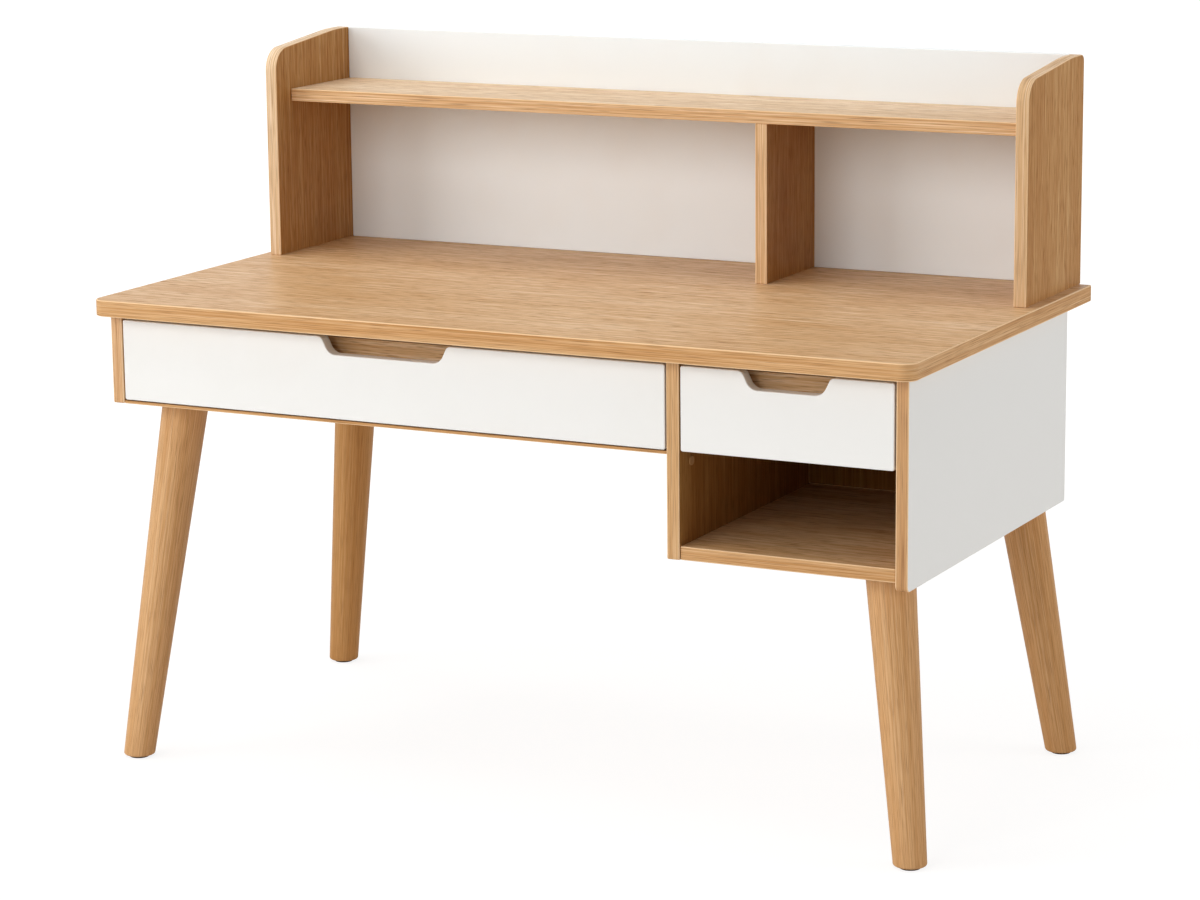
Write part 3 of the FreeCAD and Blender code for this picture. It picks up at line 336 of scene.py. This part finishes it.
# Dowels: round beech pins across the joints of the boards, the legs and the drawer fronts. Beech is a
# pale pink-brown with short ray flecks.
BEECH_PALE = "#dcb892"
BEECH_FLECK = "#b98d63"
BEECH_ROUGHNESS = 0.65
FLECK, FLECK_DEPTH = 1.2 * MM, 0.2 * MM
material = surface("beech_dowel")
place = add(material, "TexCoord").outputs["Object"]
flecks = add(material, "TexNoise", {"Vector": place, "Scale": 1 / FLECK, "Detail": 3.0})
share = add(material, "MapRange", {"Value": flecks, "From Min": 0.4, "From Max": 0.8})
colour = add(material, "Mix", {SHARE: share, FROM: linear(BEECH_PALE), TO: linear(BEECH_FLECK)},
             data_type="RGBA")
normal = add(material, "Bump", {"Strength": 0.2, "Distance": FLECK_DEPTH, "Height": flecks})
shade(material, Base_Color=colour, Roughness=BEECH_ROUGHNESS, Normal=normal)
cover(material, "panel_dowels", "wide_front_dowels", "small_front_dowels")

# Desktop: a 23 mm board with its front corners rounded in plan, veneered along its width. The oak
# strip runs round the edge and its corners, and the arris is eased to catch the light, with a painted
# highlight on it too.
veneer("desktop", thin=Z, grain=X, sheet=8, face_stain=0.77, edge_stain=1.05)

# Hutch: two rounded ends, a shelf and a divider, all veneered in oak. The shelf is dowelled to the ends
# and the divider, and screws come up through the desktop into these. The grain stands upright in the
# ends and the divider and lies along the shelf.
# Painted shade and light: the faces of the ends and the divider are stained deep for the shade inside the
# hutch, their front edges pale for the light on them, and the shelf's top pale as a painted sheen.
veneer("hutch_left_end", thin=X, grain=Z, sheet=9, face_stain=1.33, edge_stain=0.55)
veneer("hutch_right_end", thin=X, grain=Z, sheet=10, face_stain=1.27, edge_stain=0.62)
veneer("hutch_shelf", thin=Z, grain=X, sheet=11, face_stain=0.54, edge_stain=0.88)
veneer("hutch_divider", thin=X, grain=Z, sheet=12, face_stain=1.52, edge_stain=0.76)

# Hutch back: a 9 mm fibreboard panel sprayed with satin lacquer, a cooler white than the drawer fronts.
# It is screwed from behind to the shelf and the divider.
BACK_WHITE = "#eef2f3"
LACQUER_MOTTLE = "#e9e6e0"
MOTTLE = 120 * MM


def white_lacquer(name, white):
    """Sprayed satin lacquer: an even white with a faint mottle and orange peel."""
    material = surface(name)
    place = add(material, "TexCoord").outputs["Object"]
    mottle = add(material, "TexNoise", {"Vector": place, "Scale": 1 / MOTTLE, "Detail": 2.0})
    share = add(material, "MapRange", {"Value": mottle, "From Min": 0.5, "From Max": 1.0, "To Max": 0.5})
    colour = add(material, "Mix", {SHARE: share, FROM: linear(white), TO: linear(LACQUER_MOTTLE)},
                 data_type="RGBA")
    shade(material, Base_Color=colour, Roughness=LACQUER_ROUGHNESS, Normal=white_relief(material))
    return material


cover(white_lacquer("white_lacquered_back", BACK_WHITE), "hutch_back")

# Drawer boxes: 12 mm oak-faced boards, screwed together, with the sides dowelled to the white fronts.
# The inner front stands back from the white one, so that a finger goes down between, and shows
# through the cut-out.
for drawer, sheet in (("wide", 13), ("small", 17)):
    sides = oak_board(f"oak_veneer_{drawer}_sides", thin=X, grain=Y, sheet=sheet)
    cover(sides, f"{drawer}_drawer_left", f"{drawer}_drawer_right")
    # Painted light: the inner fronts and backs are stained paler, against the desktop's shadow that falls
    # through the cut-outs.
    ends = oak_board(f"oak_veneer_{drawer}_ends", thin=Y, grain=X, sheet=sheet + 1, face_stain=0.7)
    cover(ends, f"{drawer}_inner_front", f"{drawer}_drawer_back")

# Drawer bottoms: 3 mm hardboard slid into grooves, lacquered pale on its upper face and left brown
# and felted below.
HARDBOARD_BROWN = "#8a6546"
HARDBOARD_DARK = "#6f4f36"
HARDBOARD_ROUGHNESS = 0.55
FELT, FELT_DEPTH = 2.5 * MM, 0.2 * MM
material = surface("hardboard_lacquered_one_side")
place = add(material, "TexCoord").outputs["Object"]
felt = add(material, "TexNoise", {"Vector": place, "Scale": 1 / FELT, "Detail": 4.0})
brown = add(material, "Mix", {SHARE: felt, FROM: linear(HARDBOARD_DARK), TO: linear(HARDBOARD_BROWN)},
            data_type="RGBA")
facing = add(material, "SeparateXYZ", {0: add(material, "NewGeometry").outputs["Normal"]}).outputs[Z]
upper = add(material, "Math", {0: facing, 1: FLAT_FACE}, operation="GREATER_THAN")
colour = add(material, "Mix", {SHARE: upper, FROM: brown, TO: linear(LACQUER_MOTTLE)}, data_type="RGBA")
normal = add(material, "Bump", {"Strength": 0.15, "Distance": FELT_DEPTH, "Height": felt})
shade(material, Base_Color=colour, Roughness=HARDBOARD_ROUGHNESS, Normal=normal)
cover(material, "wide_drawer_bottom", "small_drawer_bottom")

# Drawer fronts: 18 mm fibreboard, dowelled to the sides of the boxes and sprayed white all round. Each
# has a scooped finger cut-out in its upper edge, and every edge is eased before spraying.
cover(white_lacquer("white_lacquered_front", LACQUER_WHITE), "wide_drawer_front", "small_drawer_front")

# Screws of the drawers: steel, they hold each box together and the slides' inner members to its sides.
# They have the same zinc plate as the carcass fixings.
cover(zinc, "wide_box_screws", "small_box_screws", "wide_slide_screws", "small_slide_screws")

# Drawer slides: on each side of a drawer, three members of cold-rolled, zinc-plated steel that run in
# each other. Rolling leaves fine lines along their length.
ROLL_WIDTH, ROLL_LENGTH = 1.5 * MM, 180 * MM
ROLL_DEPTH = 0.1 * MM
material = surface("zinc_plated_rolled_steel")
place = add(material, "TexCoord").outputs["Object"]
lines = add(material, "VectorMath", {0: place, 1: (1 / ROLL_WIDTH, 1 / ROLL_LENGTH, 1 / ROLL_WIDTH)},
            operation="MULTIPLY")
rolled = add(material, "TexNoise", {"Vector": lines, "Scale": 1.0, "Detail": 3.0})
colour = add(material, "Mix", {SHARE: rolled, FROM: linear(ZINC_DARK), TO: linear(ZINC_PALE)},
             data_type="RGBA")
roughness = add(material, "MapRange", {"Value": rolled, "To Min": 0.25, "To Max": 0.45})
normal = add(material, "Bump", {"Strength": 0.08, "Distance": ROLL_DEPTH, "Height": rolled})
shade(material, Base_Color=colour, Metallic=1.0, Roughness=roughness, Normal=normal)
for drawer in ("wide", "small"):
    for member in ("outer", "middle", "inner"):
        cover(material, f"{drawer}_slide_{member}_left", f"{drawer}_slide_{member}_right")

# Bearing strips of the slides: natural nylon on the middle members, so that steel doesn't run on
# steel. Nylon is milky and slightly greasy.
NYLON = "#e6e2d6"
NYLON_SHADE = "#d6d0bf"
NYLON_ROUGHNESS = 0.35
NYLON_CLOUD, NYLON_DEPTH = 8 * MM, 0.1 * MM
material = surface("natural_nylon")
place = add(material, "TexCoord").outputs["Object"]
milk = add(material, "TexNoise", {"Vector": place, "Scale": 1 / NYLON_CLOUD, "Detail": 3.0})
colour = add(material, "Mix", {SHARE: milk, FROM: linear(NYLON_SHADE), TO: linear(NYLON)},
             data_type="RGBA")
normal = add(material, "Bump", {"Strength": 0.05, "Distance": NYLON_DEPTH, "Height": milk})
shade(material, Base_Color=colour, Roughness=NYLON_ROUGHNESS, Normal=normal)
cover(material, "wide_slide_bearings", "small_slide_bearings")

# Studio: a plain white floor that sweeps away into a white surround. Near the desk it keeps some of
# the desk's soft shadow, and further off it is an even white.
FLOOR_SIZE = 60.0
FLOOR_WHITE = "#f2f1ef"
FLOOR_GLOW = 1.14
PLAIN_WHITE = (1.0, 1.0, 1.0, 1.0)
SHADOW_SHARE = 0.25
SHADOW_REACH, SWEEP_START = 1.0, 2.6
bpy.ops.mesh.primitive_plane_add(size=FLOOR_SIZE)
floor = bpy.context.object
floor.name = "studio_floor"
material = surface("studio_floor_white")
lit = add(material, "BsdfDiffuse", {"Color": linear(FLOOR_WHITE)})
plain = add(material, "Emission", {"Color": PLAIN_WHITE, "Strength": FLOOR_GLOW})
place = add(material, "TexCoord").outputs["Object"]
far = add(material, "VectorMath", {0: place}, operation="LENGTH").outputs["Value"]
even = add(material, "MapRange", {"Value": far, "From Min": SHADOW_REACH, "From Max": SWEEP_START,
                                  "To Min": 1 - SHADOW_SHARE, "To Max": 1.0})
seen = add(material, "LightPath").outputs["Is Camera Ray"]
share = add(material, "Math", {0: seen, 1: even}, operation="MULTIPLY")
add(material, "OutputMaterial", {"Surface": add(material, "MixShader", {0: share, 1: lit, 2: plain})})
floor.data.materials.append(material)

# Light: a dim surround that the camera and reflections see as plain white, and four soft boxes:
# overhead, high in front, to the left and to the right.
AMBIENT = 0.35
LIGHT_AIM = Vector((0.0, 0.0, 0.6))
world = bpy.data.worlds.new("studio_surround")
bpy.context.scene.world = world
world.use_nodes = True
world.node_tree.nodes.clear()
ray = add(world, "LightPath").outputs
seen = add(world, "Math", {0: ray["Is Camera Ray"], 1: ray["Is Glossy Ray"]}, operation="MAXIMUM")
strength = add(world, "MapRange", {"Value": seen, "To Min": AMBIENT, "To Max": 1.0})
white = add(world, "Background", {"Color": PLAIN_WHITE, "Strength": strength})
add(world, "OutputWorld", {"Surface": white})


def soft_box(name, place, size, power):
    """A square soft box that looks at the middle of the desk."""
    bpy.ops.object.light_add(type="AREA", location=place)
    lamp = bpy.context.object
    lamp.name = name
    lamp.data.size = size
    lamp.data.energy = power
    lamp.rotation_euler = (LIGHT_AIM - Vector(place)).to_track_quat("-Z", "Y").to_euler()


soft_box("overhead_soft_box", place=(-1.3, -0.3, 4.4), size=3.0, power=78.0)
soft_box("front_soft_box", place=(-0.8, -6.3, 3.2), size=3.6, power=134.0)
soft_box("left_soft_box", place=(-5.2, -4.6, 2.4), size=3.6, power=170.0)
soft_box("right_soft_box", place=(4.2, 1.0, 1.4), size=2.4, power=50.0)

# Camera: to the right of the desk and above it. Its place, angles and focal length, in image widths,
# are fitted to the photograph's own lines.
CAMERA_PLACE = Vector((2.2354, -4.3841, 1.4778))
CAMERA_YAW = math.radians(26.928)
CAMERA_PITCH = math.radians(11.926)
CAMERA_ROLL = math.radians(-0.589)
IMAGE_WIDTH = 1200
CAMERA_FOCAL = 3632.3 / IMAGE_WIDTH
SENSOR = 36.0
bpy.ops.object.camera_add(location=CAMERA_PLACE)
camera = bpy.context.object
ahead = Vector((-math.sin(CAMERA_YAW) * math.cos(CAMERA_PITCH),
                math.cos(CAMERA_YAW) * math.cos(CAMERA_PITCH), -math.sin(CAMERA_PITCH)))
level = Vector((math.cos(CAMERA_YAW), math.sin(CAMERA_YAW), 0.0))
upright = level.cross(ahead)
right = math.cos(CAMERA_ROLL) * level + math.sin(CAMERA_ROLL) * upright
over = right.cross(ahead)
camera.rotation_euler = Matrix((right, over, -ahead)).transposed().to_euler()
camera.data.sensor_fit = "HORIZONTAL"
camera.data.sensor_width = SENSOR
camera.data.lens = SENSOR * CAMERA_FOCAL
scene = bpy.context.scene
scene.camera = camera
scene.view_settings.view_transform = "Standard"
